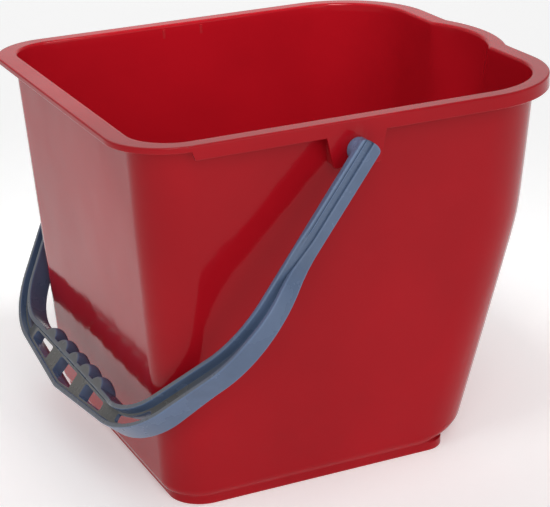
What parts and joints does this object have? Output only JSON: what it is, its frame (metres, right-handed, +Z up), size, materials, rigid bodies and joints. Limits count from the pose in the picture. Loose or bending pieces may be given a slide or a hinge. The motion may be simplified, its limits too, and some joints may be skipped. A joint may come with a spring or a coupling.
{
  "type": "wash bucket",
  "caption": "Rectangular plastic wash bucket with a flat rolled rim, a pouring lip at one end and a swinging moulded carry handle with finger ridges.",
  "frame": {"origin": "on the standing plane under the foot, below the middle of the rim", "axes": "+Z up out of the mouth, +X towards the pouring lip, Y across the bucket along the handle's pivot line"},
  "size_m": [0.3226, 0.3354, 0.24],
  "materials": {
    "red_plastic": "moulded red polypropylene, glossy",
    "blue_grey_plastic": "moulded blue-grey polypropylene, satin"
  },
  "bodies": {
    "root": {"tub": "red_plastic"},
    "handle": {"carry_handle": "blue_grey_plastic"}
  },
  "joints": [
    {"name": "handle_swing", "type": "hinge", "parent": "root", "child": "handle", "pos_m": [-0.01, 0, 0.222], "axis": [0, 1, 0], "range_deg": [0, 280]}
  ]
}
